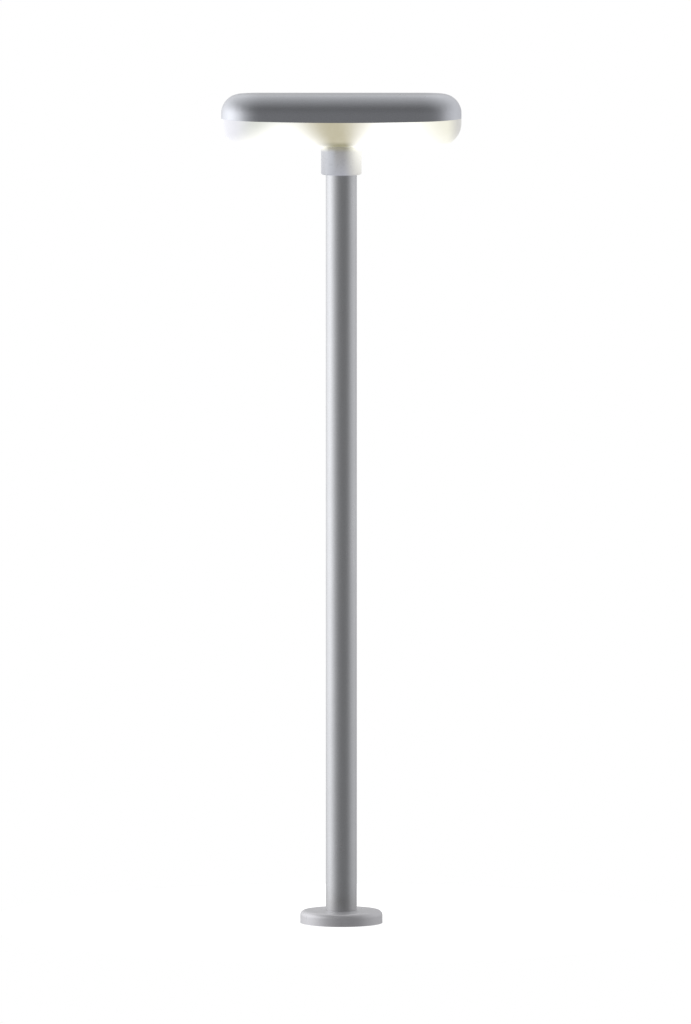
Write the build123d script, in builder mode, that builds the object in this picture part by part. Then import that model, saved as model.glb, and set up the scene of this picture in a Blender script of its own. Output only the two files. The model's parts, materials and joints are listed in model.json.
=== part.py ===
from build123d import *

from math import sqrt
import os

# Street lamp post: a round steel column on a bolted base flange, with an opal collar and a long
# stadium-shaped lamp head across its top. +Z is up and the origin is on the ground, on the
# column's axis. The front of the lamp faces -Y; the column's door and the head's hinges are at +Y.

# ---- driving dimensions, millimetres ----
TOTAL_HEIGHT = 3750.0

POLE_R = 69.85  # 139.7 mm standard tube
POLE_WALL = 4.0
FLANGE_R = 165.0
FLANGE_T = 20.0
BOLT_CIRCLE_R = 130.0
BOLT_HOLE_R = 12.0
CABLE_HOLE_R = 50.0

COVER_R = 186.0
COVER_H = 57.0
COVER_WALL = 4.0
COVER_FILLET = 22.0

HEAD_LENGTH = 1081.0
HEAD_DEPTH = 333.0
HEAD_HEIGHT = 235.5
CAP_HEIGHT = 121.5  # at the middle: the seam below it rises a little towards both ends
SEAM_R = 13300.0
CAP_WALL = 3.0
CAP_FILLET = 88.0
DIFFUSER_WALL = 4.0
DIFFUSER_FILLET = 104.0
CHASSIS_T = 5.0
GASKET_T = 0.8
CAP_SEAL_H = 13.0
TRAY_DROP = 4.8  # the tray's top lies this far below the diffuser's rim, at the middle

COLLAR_R = 91.5
COLLAR_H = 127.5
COLLAR_WALL = 4.0
COLLAR_FLOOR = 6.0
COLLAR_FILLET = 8.0

SPIGOT_R = 38.0
SPIGOT_WALL = 4.0
SPIGOT_H = 128.0
RUNNING_FIT = 0.08
GAP = 0.4  # between bodies that pass each other without touching

DOOR_Z = 800.0
DOOR_W = 100.0
DOOR_H = 400.0
DOOR_CORNER = 20.0
DOOR_GAP = 1.2
DOOR_T = 3.0
DOOR_HINGE_Y = 76.0
DOOR_HINGE_Z = 597.0
LOCK_Z = 977.0
LOCK_R = 9.0

LAMP_X = 257.0  # the two light sources, each side of the column
CAP_HINGE_X = 250.0
CAP_HINGE_Y = 178.0
LEAF_HALF = 31.0  # half the width of a cap hinge

# ---- levels worked out from them ----
POLE_IN_R = POLE_R - POLE_WALL
HEAD_Z = TOTAL_HEIGHT - HEAD_HEIGHT
CAP_Z = TOTAL_HEIGHT - CAP_HEIGHT
CHASSIS_INSET = DIFFUSER_WALL + GASKET_T
CHASSIS_TOP = CAP_Z - GAP - TRAY_DROP
CHASSIS_Z = CHASSIS_TOP - CHASSIS_T
COLLAR_TOP = HEAD_Z - 0.5
COLLAR_Z = COLLAR_TOP - COLLAR_H
REAR_Y = HEAD_DEPTH / 2
TRAY_EDGE_Y = REAR_Y - CHASSIS_INSET
SPIGOT_PLATE_T = 8.0
POLE_TOP = COLLAR_Z + 16.0
SPIGOT_Z = POLE_TOP + SPIGOT_PLATE_T
SPIGOT_TOP = SPIGOT_Z + SPIGOT_H
WASHER_R = 54.0
WASHER_T = 5.0
NECK_Z = SPIGOT_Z + WASHER_T + 0.3
NECK_R = 50.0
NECK_BORE_R = SPIGOT_R + RUNNING_FIT
NECK_RIM_R = 112.0

os.makedirs("parts", exist_ok=True)


def write(piece, label):
    piece.part.label = label
    export_step(piece.part, f"parts/{label}.step")


def ring(outer, inner, low, high, mode=Mode.ADD):
    """A flat-ended ring round Z between two heights."""
    with BuildSketch(Plane.XY.offset(low)) as section:
        Circle(outer)
        Circle(inner, mode=Mode.SUBTRACT)
    extrude(section.sketch, amount=high - low, mode=mode)


def disc(radius, low, high, mode=Mode.ADD):
    """A round plate or hole round Z between two heights."""
    with Locations((0, 0, (low + high) / 2)):
        Cylinder(radius, high - low, mode=mode)


def block(x, y, z, mode=Mode.ADD):
    """A box that fills the spans x, y and z."""
    with Locations(((x[0] + x[1]) / 2, (y[0] + y[1]) / 2, (z[0] + z[1]) / 2)):
        Box(x[1] - x[0], y[1] - y[0], z[1] - z[0], mode=mode)


def rod_x(radius, x, y, z, mode=Mode.ADD):
    """A round bar along X over the span x."""
    with Locations(((x[0] + x[1]) / 2, y, z)):
        Cylinder(radius, x[1] - x[0], rotation=(0, 90, 0), mode=mode)


def rod_y(radius, x, y, z, mode=Mode.ADD):
    """A round bar along Y over the span y."""
    with Locations((x, (y[0] + y[1]) / 2, z)):
        Cylinder(radius, y[1] - y[0], rotation=(90, 0, 0), mode=mode)


def rear_window(width, height, corner, mode):
    """A round-cornered prism from the column's axis out through its rear wall."""
    with BuildSketch(Plane.XZ) as outline:
        with Locations((0, DOOR_Z)):
            RectangleRounded(width, height, corner)
    extrude(outline.sketch, amount=-2 * POLE_R, mode=mode)


def bar_plate(inset, low, high, mode=Mode.ADD):
    """A plate with the head's stadium outline, drawn in by inset."""
    with BuildSketch(Plane.XY.offset(low)) as outline:
        SlotOverall(HEAD_LENGTH - 2 * inset, HEAD_DEPTH - 2 * inset)
    extrude(outline.sketch, amount=high - low, mode=mode)


def bar_ring(inset, width, low, high, mode=Mode.ADD):
    """A band that follows the head's stadium outline."""
    with BuildSketch(Plane.XY.offset(low)) as outline:
        SlotOverall(HEAD_LENGTH - 2 * inset, HEAD_DEPTH - 2 * inset)
        inner = inset + width
        SlotOverall(HEAD_LENGTH - 2 * inner, HEAD_DEPTH - 2 * inner, mode=Mode.SUBTRACT)
    extrude(outline.sketch, amount=high - low, mode=mode)


def cut_past_seam(lift, limit):
    """Cuts away all that lies between the bowed seam, moved up by lift, and the level limit."""
    reach = HEAD_LENGTH / 2 + 10
    middle_z = CAP_Z + lift
    end_z = middle_z + SEAM_R - sqrt(SEAM_R**2 - reach**2)
    with BuildSketch(Plane.XZ) as slab:
        with BuildLine():
            ThreePointArc((-reach, end_z), (0, middle_z), (reach, end_z))
            Polyline((reach, end_z), (reach, limit), (-reach, limit), (-reach, end_z))
        make_face()
    extrude(slab.sketch, amount=HEAD_DEPTH, both=True, mode=Mode.SUBTRACT)


# ---- column: flange with its weld bead, and anchor nuts ----
WELD = 8.0
EDGE_BREAK = 2.0
with BuildPart() as base_flange:
    ring(FLANGE_R, CABLE_HOLE_R, 0, FLANGE_T)
    chamfer(base_flange.edges().group_by(Axis.Z)[-1].sort_by(Edge.length)[-1], EDGE_BREAK)
    with BuildSketch(Plane.XZ):
        with BuildLine():
            Polyline(
                (POLE_R, FLANGE_T), (POLE_R + WELD, FLANGE_T), (POLE_R, FLANGE_T + WELD), close=True
            )
        make_face()
    revolve(axis=Axis.Z)
    with PolarLocations(BOLT_CIRCLE_R, 4, start_angle=45):
        Cylinder(BOLT_HOLE_R, 3 * FLANGE_T, mode=Mode.SUBTRACT)
write(base_flange, "base_flange")

NUT_FLATS = 30.0
NUT_H = 16.0
NUT_BORE_R = 8.65
NUT_SKIRT_R = 21.0
NUT_SKIRT_T = 4.0
for number, place in enumerate(PolarLocations(BOLT_CIRCLE_R, 4, start_angle=45), start=1):
    with BuildPart() as anchor_nut:
        with BuildSketch(Plane.XY.offset(FLANGE_T)) as hexagon:
            with Locations(place):
                RegularPolygon(NUT_FLATS / 2, 6, major_radius=False)
        extrude(amount=NUT_H)
        chamfer(anchor_nut.edges().group_by(Axis.Z)[-1], 1)
        with BuildSketch(Plane.XY.offset(FLANGE_T)):
            with Locations(place):
                Circle(NUT_SKIRT_R)
        extrude(amount=NUT_SKIRT_T)
        with BuildSketch(Plane.XY.offset(FLANGE_T)):
            with Locations(place):
                Circle(NUT_BORE_R)
        extrude(amount=NUT_H, mode=Mode.SUBTRACT)
    write(anchor_nut, f"anchor_nut_{number}")

# ---- column: tube and door opening ----
with BuildPart() as pole_tube:
    ring(POLE_R, POLE_IN_R, FLANGE_T, POLE_TOP)
    rear_window(DOOR_W, DOOR_H, DOOR_CORNER, Mode.SUBTRACT)
write(pole_tube, "pole_tube")

FRAME_T = 3.0
FRAME_LIP = 8.0  # how far it shows inside the opening, and how far it laps behind the tube
with BuildPart() as door_frame:
    ring(POLE_IN_R, POLE_IN_R - FRAME_T, DOOR_Z - DOOR_H, DOOR_Z + DOOR_H)
    for lip, mode in ((FRAME_LIP, Mode.INTERSECT), (-FRAME_LIP, Mode.SUBTRACT)):
        rear_window(DOOR_W + 2 * lip, DOOR_H + 2 * lip, DOOR_CORNER + lip, mode)
write(door_frame, "door_frame")

KNUCKLE_R = 5.0
DOOR_PIN_R = 2.5
PIN_HEAD_R = 4.0
PIN_HEAD_T = 4.0
HINGE_HALF = 30.0
HINGE_MID = 12.0
LEAF_Y = (POLE_IN_R, 74.0)
LEAF_CORNER = 4.0
LEAF_WEB_Y = DOOR_HINGE_Y + 2  # outer face of the webs that reach the knuckles
BASE_LEAF_Z = (572.0, 590.0)
DOOR_LEAF_Z = (606.0, 632.0)
HINGE_SPAN_Z = (500.0, 700.0)
with BuildPart() as door_hinge_base:
    block((-HINGE_HALF, HINGE_HALF), LEAF_Y, BASE_LEAF_Z)
    fillet(door_hinge_base.edges().filter_by(Axis.Y), LEAF_CORNER)
    for side in (-1, 1):
        near, far = sorted((side * (HINGE_MID + GAP), side * HINGE_HALF))
        block((near, far), (POLE_R - 0.85, LEAF_WEB_Y), (BASE_LEAF_Z[1] - 4, DOOR_HINGE_Z))
        rod_x(KNUCKLE_R, (near, far), DOOR_HINGE_Y, DOOR_HINGE_Z)
    disc(POLE_R, *HINGE_SPAN_Z, mode=Mode.SUBTRACT)
    rod_x(DOOR_PIN_R, (-HINGE_HALF, HINGE_HALF), DOOR_HINGE_Y, DOOR_HINGE_Z, mode=Mode.SUBTRACT)
write(door_hinge_base, "door_hinge_base")

with BuildPart() as door_hinge_pin:
    rod_x(DOOR_PIN_R, (-HINGE_HALF, HINGE_HALF), DOOR_HINGE_Y, DOOR_HINGE_Z)
    rod_x(PIN_HEAD_R, (-HINGE_HALF - PIN_HEAD_T, -HINGE_HALF), DOOR_HINGE_Y, DOOR_HINGE_Z)
    rod_x(PIN_HEAD_R, (HINGE_HALF, HINGE_HALF + PIN_HEAD_T), DOOR_HINGE_Y, DOOR_HINGE_Z)
write(door_hinge_pin, "door_hinge_pin")

# ---- column: what stands inside it, reached through the door ----
RAIL_Y = -18.0
RAIL_T = 3.0
RAIL_FRONT = RAIL_Y + RAIL_T
RAIL_X = (-30.0, 30.0)
RAIL_Z = (640.0, 960.0)
STUD_R = 4.0
STUD_Z = 665.0
with BuildPart() as equipment_rail:
    block(RAIL_X, (RAIL_Y, RAIL_FRONT), RAIL_Z)
    for ear in (RAIL_Z[0], RAIL_Z[1] - RAIL_T):
        block(RAIL_X, (-POLE_R, RAIL_FRONT), (ear, ear + RAIL_T))
    with BuildSketch(Plane.XY.offset(RAIL_Z[0])) as bore:
        Circle(POLE_IN_R)
    extrude(bore.sketch, amount=RAIL_Z[1] - RAIL_Z[0], mode=Mode.INTERSECT)
    rod_y(STUD_R, 0, (RAIL_Y, RAIL_FRONT), STUD_Z, mode=Mode.SUBTRACT)
write(equipment_rail, "equipment_rail")

CABLE_R = 6.0
CABLE_Y = 12.0
BOX_X = 35.0
BOX_Y = (RAIL_FRONT, 40.0)
BOX_Z = (760.0, 900.0)
BOX_WALL = 3.0
BOX_CORNER = 6.0
GLAND_R = 11.0
GLAND_H = 16.0
with BuildPart() as fuse_box:
    block((-BOX_X, BOX_X), BOX_Y, BOX_Z)
    fillet(fuse_box.edges().filter_by(Axis.Y), BOX_CORNER)
    inner_x = BOX_X - BOX_WALL
    inner_z = (BOX_Z[0] + BOX_WALL, BOX_Z[1] - BOX_WALL)
    block((-inner_x, inner_x), (BOX_Y[0] + BOX_WALL, BOX_Y[1]), inner_z, mode=Mode.SUBTRACT)
    with Locations((0, CABLE_Y, BOX_Z[1] + 6)):
        Cylinder(GLAND_R, GLAND_H)
        Cylinder(CABLE_R, 2 * GLAND_H, mode=Mode.SUBTRACT)
write(fuse_box, "fuse_box")

LID_T = 4.0
LID_SCREW_R = 3.5
LID_SCREW_INSET = 9.0
with BuildPart() as fuse_box_lid:
    block((-BOX_X, BOX_X), (BOX_Y[1], BOX_Y[1] + LID_T), BOX_Z)
    fillet(fuse_box_lid.edges().filter_by(Axis.Y), BOX_CORNER)
    fillet(fuse_box_lid.faces().sort_by(Axis.Y)[-1].edges(), 1.5)
    screw_y = (BOX_Y[1] + LID_T / 2, BOX_Y[1] + LID_T + 1.5)
    for side in (-1, 1):
        for z in (BOX_Z[0] + LID_SCREW_INSET, BOX_Z[1] - LID_SCREW_INSET):
            rod_y(LID_SCREW_R, side * (BOX_X - LID_SCREW_INSET), screw_y, z)
write(fuse_box_lid, "fuse_box_lid")

CARRIER_FACE_Y = 20.0
FUSE_X = 12.0
with BuildPart() as fuse_carrier:
    block((-2 * FUSE_X, 2 * FUSE_X), (BOX_Y[0] + BOX_WALL, CARRIER_FACE_Y), (785, 865))
    fillet(fuse_carrier.edges().filter_by(Axis.Y), 2)
    for x in (-FUSE_X, FUSE_X):
        block((x - 7, x + 7), (CARRIER_FACE_Y, CARRIER_FACE_Y + 10), (800, 850))
write(fuse_carrier, "fuse_carrier")

TERMINAL_FACE_Y = 12.0
TERMINAL_Z = (690.0, 740.0)
TERMINAL_HOLE_R = 4.0
TERMINAL_HOLE_DEPTH = 5.0
with BuildPart() as terminal_block:
    block((-25, 25), (RAIL_FRONT, TERMINAL_FACE_Y), TERMINAL_Z)
    fillet(terminal_block.edges().filter_by(Axis.X), 3)
    with Locations((0, TERMINAL_FACE_Y, sum(TERMINAL_Z) / 2)):
        with GridLocations(12, 0, 4, 1):
            Cylinder(
                TERMINAL_HOLE_R, 2 * TERMINAL_HOLE_DEPTH, rotation=(90, 0, 0), mode=Mode.SUBTRACT
            )
write(terminal_block, "terminal_block")

STUD_NUT_T = 7.0
with BuildPart() as earth_stud:
    rod_y(STUD_R, 0, (RAIL_Y - 5, TERMINAL_FACE_Y), STUD_Z)
    with BuildSketch(Plane.XZ.offset(-RAIL_FRONT - STUD_NUT_T)) as hexagon:
        with Locations((0, STUD_Z)):
            RegularPolygon(6.5, 6, major_radius=False)
    extrude(hexagon.sketch, amount=STUD_NUT_T)
write(earth_stud, "earth_stud")

CONNECTOR_R = 14.0
CONNECTOR_END = 4.0  # radius where the cable leaves the connector
PLUG_H = 27.0
PLUG_Z = SPIGOT_TOP + 2 - PLUG_H
CABLE_START = (0, CABLE_Y, BOX_Z[1] - 20)
CABLE_BEND_START = (0, CABLE_Y, BOX_Z[1] + 50)
CABLE_BEND_END = (0, 0, BOX_Z[1] + 160)
with BuildPart() as riser_cable:
    with BuildLine() as route:
        Line(CABLE_START, CABLE_BEND_START)
        Spline(CABLE_BEND_START, CABLE_BEND_END, tangents=((0, 0, 1), (0, 0, 1)))
        Line(CABLE_BEND_END, (0, 0, PLUG_Z))
    with BuildSketch(Plane(CABLE_START, z_dir=(0, 0, 1))):
        Circle(CABLE_R)
    sweep(path=route.line)
write(riser_cable, "riser_cable")

with BuildPart() as riser_connector:
    disc(CONNECTOR_R, PLUG_Z, PLUG_Z + PLUG_H)
    fillet(riser_connector.edges().group_by(Axis.Z)[0], CONNECTOR_END)
write(riser_connector, "riser_connector")

# ---- column: the spigot that carries the head ----
with BuildPart() as spigot_plate:
    ring(POLE_R, SPIGOT_R - SPIGOT_WALL, POLE_TOP, SPIGOT_Z)
    chamfer(spigot_plate.edges().group_by(Axis.Z)[-1].sort_by(Edge.length)[-1], EDGE_BREAK)
write(spigot_plate, "spigot_plate")

with BuildPart() as spigot_tube:
    ring(SPIGOT_R, SPIGOT_R - SPIGOT_WALL, SPIGOT_Z, SPIGOT_TOP)
    chamfer(spigot_tube.edges().group_by(Axis.Z)[-1].sort_by(Edge.length)[-1], 1.5)
write(spigot_tube, "spigot_tube")

with BuildPart() as thrust_washer:
    ring(WASHER_R, SPIGOT_R, SPIGOT_Z, SPIGOT_Z + WASHER_T)
write(thrust_washer, "thrust_washer")

# ---- base cover, which lifts up the column ----
COVER_BORE_R = POLE_R + GAP
COVER_IN_R = COVER_R - COVER_WALL
COVER_IN_TOP = COVER_H - COVER_WALL
with BuildPart() as base_cover:
    with BuildSketch(Plane.XZ) as profile:
        with BuildLine():
            Polyline(
                (COVER_BORE_R, COVER_H),
                (COVER_R, COVER_H),
                (COVER_R, 0),
                (COVER_IN_R, 0),
                (COVER_IN_R, COVER_IN_TOP),
                (COVER_BORE_R, COVER_IN_TOP),
                close=True,
            )
        make_face()
        outer_corner = profile.vertices().sort_by_distance((COVER_R, COVER_H))[0]
        fillet(outer_corner, COVER_FILLET)
        inner_corner = profile.vertices().sort_by_distance((COVER_IN_R, COVER_IN_TOP))[0]
        fillet(inner_corner, COVER_FILLET - COVER_WALL)
    revolve(axis=Axis.Z)
write(base_cover, "base_cover")

SEAL_GAP = 0.35  # between a sliding seal's lip and the column
SEAL = 6.0
with BuildPart() as base_cover_seal:
    ring(COVER_BORE_R + SEAL, POLE_R + SEAL_GAP, COVER_IN_TOP - SEAL, COVER_IN_TOP)
write(base_cover_seal, "base_cover_seal")

# ---- column door ----
DOOR_IN_R = POLE_R - DOOR_T
with BuildPart() as door_panel:
    ring(POLE_R, DOOR_IN_R, DOOR_Z - DOOR_H, DOOR_Z + DOOR_H)
    rear_window(DOOR_W - 2 * DOOR_GAP, DOOR_H - 2 * DOOR_GAP, DOOR_CORNER - DOOR_GAP, Mode.INTERSECT)
    rod_y(LOCK_R + RUNNING_FIT, 0, (DOOR_IN_R - 5, POLE_R + 5), LOCK_Z, mode=Mode.SUBTRACT)
write(door_panel, "door_panel")

DOOR_SEAL_T = 0.7
with BuildPart() as door_gasket:
    ring(DOOR_IN_R, DOOR_IN_R - DOOR_SEAL_T, DOOR_Z - DOOR_H, DOOR_Z + DOOR_H)
    for inset, mode in ((2, Mode.INTERSECT), (6, Mode.SUBTRACT)):
        rear_window(DOOR_W - 2 * inset, DOOR_H - 2 * inset, DOOR_CORNER - inset, mode)
write(door_gasket, "door_gasket")

with BuildPart() as door_hinge_leaf:
    block((-HINGE_MID, HINGE_MID), LEAF_Y, DOOR_LEAF_Z)
    fillet(door_hinge_leaf.edges().filter_by(Axis.Y), LEAF_CORNER)
    block((-HINGE_MID, HINGE_MID), (LEAF_Y[1] - 2, LEAF_WEB_Y), (DOOR_HINGE_Z, DOOR_LEAF_Z[0] + 6))
    rod_x(KNUCKLE_R, (-HINGE_MID, HINGE_MID), DOOR_HINGE_Y, DOOR_HINGE_Z)
    disc(POLE_R, *HINGE_SPAN_Z, mode=Mode.SUBTRACT)
    pin_clear = DOOR_PIN_R + RUNNING_FIT
    rod_x(pin_clear, (-HINGE_HALF, HINGE_HALF), DOOR_HINGE_Y, DOOR_HINGE_Z, mode=Mode.SUBTRACT)
write(door_hinge_leaf, "door_hinge_leaf")

# ---- door lock: a triangular-key barrel with a cam behind the panel ----
CAM_Y = 58.8
CAM_T = 3.0
CAM_REACH = 21.0
CAM_HALF_W = 7.0
CAM_PIN_R = 5.0
LOCK_FACE_Y = POLE_R + 2
KEY_R = 5.5
KEY_DEPTH = 5.0
with BuildPart() as door_lock_barrel:
    rod_y(LOCK_R, 0, (CAM_Y, LOCK_FACE_Y), LOCK_Z)
    fillet(door_lock_barrel.edges().sort_by(Axis.Y)[-1], 1)
    rod_y(CAM_PIN_R, 0, (CAM_Y - CAM_T - 1, CAM_Y), LOCK_Z)
    with BuildSketch(Plane.XZ.offset(-LOCK_FACE_Y)) as key_socket:
        with Locations((0, LOCK_Z)):
            RegularPolygon(KEY_R, 3)
    extrude(key_socket.sketch, amount=KEY_DEPTH, mode=Mode.SUBTRACT)
write(door_lock_barrel, "door_lock_barrel")

with BuildPart() as door_lock_cam:
    with BuildSketch(Plane.XZ.offset(-CAM_Y)) as cam_outline:
        with Locations(((CAM_REACH - CAM_HALF_W) / 2, LOCK_Z)):
            SlotOverall(CAM_REACH + CAM_HALF_W, 2 * CAM_HALF_W)
        with Locations((0, LOCK_Z)):
            Circle(CAM_PIN_R, mode=Mode.SUBTRACT)
    extrude(cam_outline.sketch, amount=CAM_T)
write(door_lock_cam, "door_lock_cam")

# ---- opal collar between column and head, which slides down for the clamp screws ----
COLLAR_IN_R = COLLAR_R - COLLAR_WALL
COLLAR_FLOOR_TOP = COLLAR_Z + COLLAR_FLOOR
COLLAR_SEAL = 5.0
with BuildPart() as collar_sleeve:
    ring(COLLAR_R, COLLAR_IN_R, COLLAR_Z, COLLAR_TOP)
    ring(COLLAR_IN_R, POLE_R + 2 * GAP, COLLAR_Z, COLLAR_FLOOR_TOP)
    fillet(collar_sleeve.edges().group_by(Axis.Z)[0].sort_by(Edge.length)[-1], COLLAR_FILLET)
write(collar_sleeve, "collar_sleeve")

with BuildPart() as collar_seal:
    ring(POLE_R + COLLAR_SEAL, POLE_R + SEAL_GAP, COLLAR_FLOOR_TOP, COLLAR_FLOOR_TOP + COLLAR_SEAL)
write(collar_seal, "collar_seal")

# ---- head: neck casting and its clamp screws ----
NECK_CONE_Z = HEAD_Z + 18
NECK_RIM_H = 10.0
NECK_RIM_T = 16.0
NECK_CONE_T = 10.0
SCREW_Z = COLLAR_Z + 64
SCREW_R = 5.0
with BuildPart() as neck_casting:
    with BuildSketch(Plane.XZ):
        with BuildLine():
            Polyline(
                (NECK_BORE_R, NECK_Z),
                (NECK_R, NECK_Z),
                (NECK_R, NECK_CONE_Z),
                (NECK_RIM_R, CHASSIS_Z - NECK_RIM_H),
                (NECK_RIM_R, CHASSIS_Z),
                (NECK_RIM_R - NECK_RIM_T, CHASSIS_Z),
                (NECK_RIM_R - NECK_RIM_T, CHASSIS_Z - NECK_RIM_H / 2),
                (NECK_BORE_R, NECK_CONE_Z + NECK_CONE_T),
                close=True,
            )
        make_face()
    revolve(axis=Axis.Z)
    with Locations((0, 0, SCREW_Z)):
        with PolarLocations((NECK_R + SPIGOT_R) / 2, 3, start_angle=90):
            Cylinder(SCREW_R, NECK_R - SPIGOT_R + 8, rotation=(0, 90, 0), mode=Mode.SUBTRACT)
write(neck_casting, "neck_casting")

SCREW_TIP_R = SPIGOT_R + GAP
HEAD_START_R = NECK_R + 4
SCREW_HEAD_T = 9.0
for number in range(3):
    outward = Vector(1, 0, 0).rotate(Axis.Z, 90 + 120 * number)
    centre = Vector(0, 0, SCREW_Z)
    with BuildPart() as clamp_screw:
        with BuildSketch(Plane(centre, z_dir=outward)):
            Circle(SCREW_R)
        extrude(amount=HEAD_START_R)
        with BuildSketch(Plane(centre + outward * HEAD_START_R, z_dir=outward)):
            RegularPolygon(8, 6, major_radius=False)
        extrude(amount=SCREW_HEAD_T)
        disc(SCREW_TIP_R, SCREW_Z - 2 * SCREW_R, SCREW_Z + 2 * SCREW_R, mode=Mode.SUBTRACT)
    write(clamp_screw, f"neck_clamp_screw_{number + 1}")

# ---- head: chassis tray, diffuser bowl and seals ----
WIRE_Y = 48.0
WIRE_X = 200.0
WIRE_HOLE_R = 5.0
UPSTAND_INSET = 7.0
UPSTAND_T = 2.5
UPSTAND_H = 10.0
BOSS_R = 8.0
BOSS_H = 6.0
with BuildPart() as head_chassis:
    bar_plate(CHASSIS_INSET, CHASSIS_Z, CHASSIS_TOP)
    bar_ring(UPSTAND_INSET, UPSTAND_T, CHASSIS_TOP, CHASSIS_TOP + UPSTAND_H)
    disc(30, CHASSIS_Z, CHASSIS_TOP, mode=Mode.SUBTRACT)
    for side in (-1, 1):
        with Locations((side * WIRE_X, WIRE_Y, CHASSIS_Z)):
            Cylinder(WIRE_HOLE_R, 4 * CHASSIS_T, mode=Mode.SUBTRACT)
    with Locations((0, 0, CHASSIS_TOP)):
        with PolarLocations(NECK_RIM_R - BOSS_R, 4, start_angle=45):
            Cylinder(BOSS_R, BOSS_H, align=(Align.CENTER, Align.CENTER, Align.MIN))
write(head_chassis, "head_chassis")

NECK_SEAL_T = 2.0
NECK_SEAL_LIP = 10.0
RIM_STOCK = CAP_Z + 15  # higher than the seam at either end
with BuildPart() as bowl_cavity:
    bar_plate(DIFFUSER_WALL, HEAD_Z + DIFFUSER_WALL, RIM_STOCK)
    fillet(bowl_cavity.edges().group_by(Axis.Z)[0], DIFFUSER_FILLET - DIFFUSER_WALL)

with BuildPart() as diffuser:
    bar_plate(0, HEAD_Z, RIM_STOCK)
    fillet(diffuser.edges().group_by(Axis.Z)[0], DIFFUSER_FILLET)
    add(bowl_cavity.part, mode=Mode.SUBTRACT)
    cut_past_seam(-GAP, RIM_STOCK + 1)
    disc(NECK_R + NECK_SEAL_T, HEAD_Z - 1, HEAD_Z + DIFFUSER_WALL + 1, mode=Mode.SUBTRACT)
    for x in (-CAP_HINGE_X, CAP_HINGE_X):
        notch_x = (x - LEAF_HALF - GAP, x + LEAF_HALF + GAP)
        notch_y = (REAR_Y - 2 * DIFFUSER_WALL, REAR_Y + 1)
        block(notch_x, notch_y, (CHASSIS_Z - GAP, RIM_STOCK), mode=Mode.SUBTRACT)
write(diffuser, "diffuser")

with BuildPart() as diffuser_gasket:
    bar_ring(DIFFUSER_WALL, GASKET_T, CHASSIS_Z, CHASSIS_TOP)
    block((-HEAD_LENGTH, HEAD_LENGTH), (TRAY_EDGE_Y, REAR_Y), (CHASSIS_Z, CHASSIS_TOP), mode=Mode.SUBTRACT)
write(diffuser_gasket, "diffuser_gasket")

with BuildPart() as neck_gasket:
    bowl_floor = HEAD_Z + DIFFUSER_WALL
    ring(NECK_R + NECK_SEAL_T, NECK_R, HEAD_Z, bowl_floor)
    ring(NECK_R + NECK_SEAL_LIP, NECK_R, bowl_floor, bowl_floor + NECK_SEAL_T)
write(neck_gasket, "neck_gasket")

with BuildPart() as cap_gasket:
    bar_ring(CHASSIS_INSET, 2, CHASSIS_TOP, CHASSIS_TOP + CAP_SEAL_H)
write(cap_gasket, "cap_gasket")

# ---- head: the two light modules under the chassis ----
CARRIER_T = 8.0
BOARD_T = 1.6
BOARD_Z = CHASSIS_Z - CARRIER_T - BOARD_T
OPTIC_RIM = 4.5
OPTIC_T = 3.0
OPTIC_Z = BOARD_Z - OPTIC_RIM - OPTIC_T
CHIP = 6.0
CHIP_T = 1.6
CHIP_PITCH = 32.0
LENS_R = 9.0
CARRIER_HALF = (80.0, 60.0)
BOARD_HALF = (70.0, 50.0)
OPTIC_LAP = 2.0  # how far the optic reaches past the board, and its wall inside that edge


def module_plate(lamp_x, half, grow, z, mode=Mode.ADD):
    """A rectangular layer of a light module, its half sizes grown by grow."""
    reach_x, reach_y = half[0] + grow, half[1] + grow
    block((lamp_x - reach_x, lamp_x + reach_x), (-reach_y, reach_y), z, mode=mode)


for side, lamp_x in (("left", -LAMP_X), ("right", LAMP_X)):
    with BuildPart() as led_carrier:
        module_plate(lamp_x, CARRIER_HALF, 0, (CHASSIS_Z - CARRIER_T, CHASSIS_Z))
        chamfer(led_carrier.edges().group_by(Axis.Z)[0], 3)
    write(led_carrier, f"led_carrier_{side}")

    with BuildPart() as led_board:
        module_plate(lamp_x, BOARD_HALF, 0, (BOARD_Z, BOARD_Z + BOARD_T))
        with Locations((lamp_x, 0, BOARD_Z)):
            with GridLocations(CHIP_PITCH, CHIP_PITCH, 4, 3):
                Box(CHIP, CHIP, CHIP_T, align=(Align.CENTER, Align.CENTER, Align.MAX))
    write(led_board, f"led_board_{side}")

    with BuildPart() as led_optic:
        module_plate(lamp_x, BOARD_HALF, OPTIC_LAP, (OPTIC_Z, BOARD_Z))
        module_plate(lamp_x, BOARD_HALF, -OPTIC_LAP, (OPTIC_Z + OPTIC_T, BOARD_Z), mode=Mode.SUBTRACT)
        with Locations((lamp_x, 0, OPTIC_Z)):
            with GridLocations(CHIP_PITCH, CHIP_PITCH, 4, 3):
                Sphere(LENS_R, arc_size1=-90, arc_size2=0)
    write(led_optic, f"led_optic_{side}")

# ---- head: electrical gear on the chassis, under the cap ----
DRIVER_X = (-330.0, -70.0)
DRIVER_HALF_W = 35.0
DRIVER_H = 40.0
FOOT = 12.0
with BuildPart() as led_driver:
    block(DRIVER_X, (-DRIVER_HALF_W, DRIVER_HALF_W), (CHASSIS_TOP, CHASSIS_TOP + DRIVER_H))
    fillet(led_driver.edges().filter_by(Axis.X).group_by(Axis.Z)[-1], 5)
    for foot_x in (DRIVER_X[0] - FOOT, DRIVER_X[1]):
        block((foot_x, foot_x + FOOT), (-20, 20), (CHASSIS_TOP, CHASSIS_TOP + 3))
write(led_driver, "led_driver")

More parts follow.
